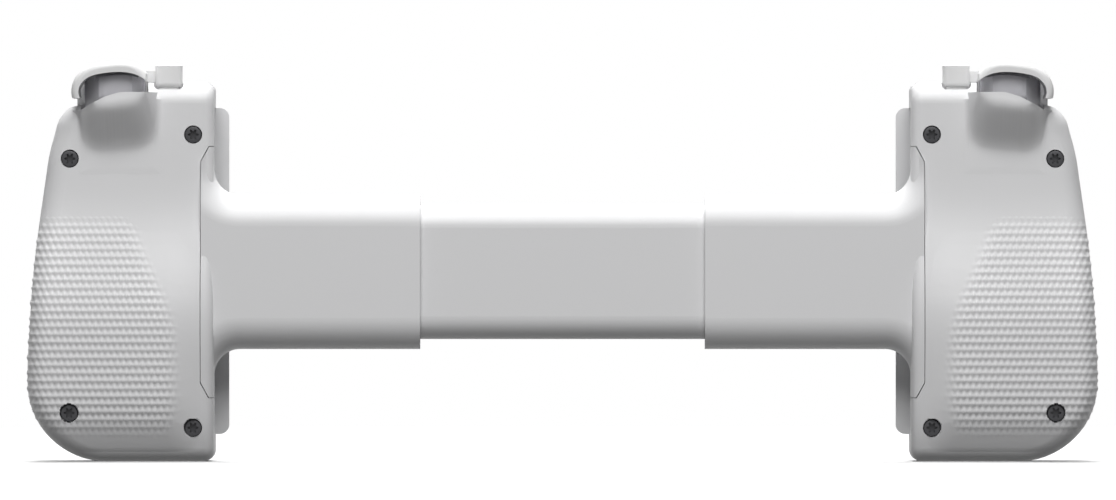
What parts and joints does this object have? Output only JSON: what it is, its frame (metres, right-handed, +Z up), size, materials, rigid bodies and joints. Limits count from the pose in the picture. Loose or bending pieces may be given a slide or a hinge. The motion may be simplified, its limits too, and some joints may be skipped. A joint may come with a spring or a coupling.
{
  "type": "mobile game controller",
  "caption": "White telescoping game controller for a phone, drawn out: contoured grips with triggers, joined by a sliding bridge with racks, pinion and closing springs.",
  "frame": {"origin": "on the resting line under the grips, midway between them", "axes": "+X towards the grip of the player's left hand, along the bridge; +Y towards the player, out of the face; +Z up, as seen from behind in the picture"},
  "size_m": [0.2464, 0.0338, 0.0922],
  "materials": {
    "white_shell": "fine moulded grain",
    "white_key": "satin moulded",
    "grey_core": "fine moulded grain",
    "black_screw": "black oxide",
    "steel": "plain drawn steel",
    "acetal": "moulded, slightly waxy",
    "circuit_board": "solder mask",
    "flex_film": "polyimide film",
    "silicone": "matte moulded",
    "lens": "clear polished"
  },
  "bodies": {
    "centre": {"centre_cover": "white_shell", "centre_base": "white_shell", "pinion_axle": "steel", "flex_cable": "flex_film"},
    "pinion_gear": {"pinion": "acetal"},
    "left_grip": {"left_rear_shell": "white_shell", "left_front_shell": "white_shell", "left_arm_cover": "white_shell", "left_arm_base": "white_shell", "left_rack": "acetal", "left_rear_screws": "black_screw", "left_board": "circuit_board", "left_phone_pad": "silicone", "left_trigger_pin": "steel", "left_trigger_spring": "steel", "left_stick_housing": "acetal", "left_button_mat": "silicone", "left_pull_spring": "steel"},
    "right_grip": {"right_rear_shell": "white_shell", "right_front_shell": "white_shell", "right_arm_cover": "white_shell", "right_arm_base": "white_shell", "right_rack": "acetal", "right_rear_screws": "black_screw", "right_board": "circuit_board", "right_phone_pad": "silicone", "right_trigger_pin": "steel", "right_trigger_spring": "steel", "right_stick_housing": "acetal", "right_button_mat": "silicone", "right_pull_spring": "steel", "usb_plug": "steel", "charge_port": "steel", "status_lens": "lens"},
    "left_trigger": {"left_trigger_cap": "white_key", "left_trigger_core": "grey_core"},
    "left_bumper_key": {"left_bumper": "white_key"},
    "left_top_key": {"left_top_button": "white_key"},
    "left_yoke": {"left_stick_yoke": "acetal"},
    "left_rocker": {"left_stick_rocker": "acetal"},
    "left_cap": {"left_stick_cap": "white_key"},
    "left_upper_key": {"left_upper_small_button": "white_key"},
    "left_lower_key": {"left_lower_small_button": "white_key"},
    "right_trigger": {"right_trigger_cap": "white_key", "right_trigger_core": "grey_core"},
    "right_bumper_key": {"right_bumper": "white_key"},
    "right_top_key": {"right_top_button": "white_key"},
    "right_yoke": {"right_stick_yoke": "acetal"},
    "right_rocker": {"right_stick_rocker": "acetal"},
    "right_cap": {"right_stick_cap": "white_key"},
    "right_upper_key": {"right_upper_small_button": "white_key"},
    "right_lower_key": {"right_lower_small_button": "white_key"},
    "north_key": {"button_north": "white_key"},
    "east_key": {"button_east": "white_key"},
    "south_key": {"button_south": "white_key"},
    "west_key": {"button_west": "white_key"},
    "dpad_plate": {"dpad_pivot": "acetal"},
    "dpad_key": {"dpad": "white_key"}
  },
  "joints": [
    {"name": "left_slide", "type": "slide", "parent": "centre", "child": "left_grip", "axis": [1, 0, 0], "range_m": [-0.0325, 0.005], "stiffness_N_per_m": 40, "springref_m": -0.0325, "deforming": ["left_pull_spring", "flex_cable"]},
    {"name": "right_slide", "type": "slide", "parent": "centre", "child": "right_grip", "axis": [-1, 0, 0], "range_m": [-0.0325, 0.005], "deforming": ["right_pull_spring", "flex_cable"]},
    {"name": "pinion_spin", "type": "hinge", "parent": "centre", "child": "pinion_gear", "pos_m": [0, -0.00625, 0.04365], "axis": [0, 1, 0], "range_deg": [-60, 385]},
    {"name": "left_trigger_pull", "type": "hinge", "parent": "left_grip", "child": "left_trigger", "pos_m": [0.1035, -0.0042, 0.0795], "axis": [1, 0, 0], "range_deg": [0, 12], "stiffness_Nm_per_rad": 0.02, "springref_deg": -11.46},
    {"name": "left_bumper_press", "type": "slide", "parent": "left_grip", "child": "left_bumper_key", "axis": [0, 0, -1], "range_m": [0, 0.001], "stiffness_N_per_m": 800, "springref_m": -0.0005},
    {"name": "left_top_press", "type": "slide", "parent": "left_grip", "child": "left_top_key", "axis": [0, 0, -1], "range_m": [0, 0.0004], "stiffness_N_per_m": 900, "springref_m": -0.0003},
    {"name": "left_stick_updown", "type": "hinge", "parent": "left_grip", "child": "left_yoke", "pos_m": [0.101, 0.0037, 0.065], "axis": [1, 0, 0], "range_deg": [-16, 16], "stiffness_Nm_per_rad": 0.02},
    {"name": "left_stick_across", "type": "hinge", "parent": "left_yoke", "child": "left_rocker", "pos_m": [0.101, 0.0037, 0.065], "axis": [0, 0, 1], "range_deg": [-16, 16], "stiffness_Nm_per_rad": 0.02},
    {"name": "left_stick_click", "type": "slide", "parent": "left_rocker", "child": "left_cap", "axis": [0, -1, 0], "range_m": [0, 0.0005], "stiffness_N_per_m": 900, "springref_m": -0.0005},
    {"name": "left_upper_press", "type": "slide", "parent": "left_grip", "child": "left_upper_key", "axis": [0, -1, 0], "range_m": [0, 0.0008], "stiffness_N_per_m": 600, "springref_m": -0.0003, "deforming": ["left_button_mat"]},
    {"name": "left_lower_press", "type": "slide", "parent": "left_grip", "child": "left_lower_key", "axis": [0, -1, 0], "range_m": [0, 0.0008], "stiffness_N_per_m": 600, "springref_m": -0.0003, "deforming": ["left_button_mat"]},
    {"name": "right_trigger_pull", "type": "hinge", "parent": "right_grip", "child": "right_trigger", "pos_m": [-0.1035, -0.0042, 0.0795], "axis": [1, 0, 0], "range_deg": [0, 12], "stiffness_Nm_per_rad": 0.02, "springref_deg": -11.46},
    {"name": "right_bumper_press", "type": "slide", "parent": "right_grip", "child": "right_bumper_key", "axis": [0, 0, -1], "range_m": [0, 0.001], "stiffness_N_per_m": 800, "springref_m": -0.0005},
    {"name": "right_top_press", "type": "slide", "parent": "right_grip", "child": "right_top_key", "axis": [0, 0, -1], "range_m": [0, 0.0004], "stiffness_N_per_m": 900, "springref_m": -0.0003},
    {"name": "right_stick_updown", "type": "hinge", "parent": "right_grip", "child": "right_yoke", "pos_m": [-0.099, 0.0037, 0.035], "axis": [1, 0, 0], "range_deg": [-16, 16], "stiffness_Nm_per_rad": 0.02},
    {"name": "right_stick_across", "type": "hinge", "parent": "right_yoke", "child": "right_rocker", "pos_m": [-0.099, 0.0037, 0.035], "axis": [0, 0, 1], "range_deg": [-16, 16], "stiffness_Nm_per_rad": 0.02},
    {"name": "right_stick_click", "type": "slide", "parent": "right_rocker", "child": "right_cap", "axis": [0, -1, 0], "range_m": [0, 0.0005], "stiffness_N_per_m": 900, "springref_m": -0.0005},
    {"name": "right_upper_press", "type": "slide", "parent": "right_grip", "child": "right_upper_key", "axis": [0, -1, 0], "range_m": [0, 0.0008], "stiffness_N_per_m": 600, "springref_m": -0.0003, "deforming": ["right_button_mat"]},
    {"name": "right_lower_press", "type": "slide", "parent": "right_grip", "child": "right_lower_key", "axis": [0, -1, 0], "range_m": [0, 0.0008], "stiffness_N_per_m": 600, "springref_m": -0.0003, "deforming": ["right_button_mat"]},
    {"name": "north_press", "type": "slide", "parent": "right_grip", "child": "north_key", "axis": [0, -1, 0], "range_m": [0, 0.0012], "stiffness_N_per_m": 500, "springref_m": -0.0003, "deforming": ["right_button_mat"]},
    {"name": "east_press", "type": "slide", "parent": "right_grip", "child": "east_key", "axis": [0, -1, 0], "range_m": [0, 0.0012], "stiffness_N_per_m": 500, "springref_m": -0.0003, "deforming": ["right_button_mat"]},
    {"name": "south_press", "type": "slide", "parent": "right_grip", "child": "south_key", "axis": [0, -1, 0], "range_m": [0, 0.0012], "stiffness_N_per_m": 500, "springref_m": -0.0003, "deforming": ["right_button_mat"]},
    {"name": "west_press", "type": "slide", "parent": "right_grip", "child": "west_key", "axis": [0, -1, 0], "range_m": [0, 0.0012], "stiffness_N_per_m": 500, "springref_m": -0.0003, "deforming": ["right_button_mat"]},
    {"name": "dpad_updown", "type": "hinge", "parent": "left_grip", "child": "dpad_plate", "pos_m": [0.0995, 0.0031, 0.035], "axis": [1, 0, 0], "range_deg": [-4.5, 4.5], "stiffness_Nm_per_rad": 0.02, "deforming": ["left_button_mat"]},
    {"name": "dpad_across", "type": "hinge", "parent": "dpad_plate", "child": "dpad_key", "pos_m": [0.0995, 0.0031, 0.035], "axis": [0, 0, 1], "range_deg": [-4.5, 4.5], "stiffness_Nm_per_rad": 0.02, "deforming": ["left_button_mat"]}
  ],
  "couplings": [
    {"joint": "right_slide", "follows": "left_slide", "ratio": 1},
    {"joint": "pinion_spin", "follows": "left_slide", "rad_per_m": -204.08}
  ]
}
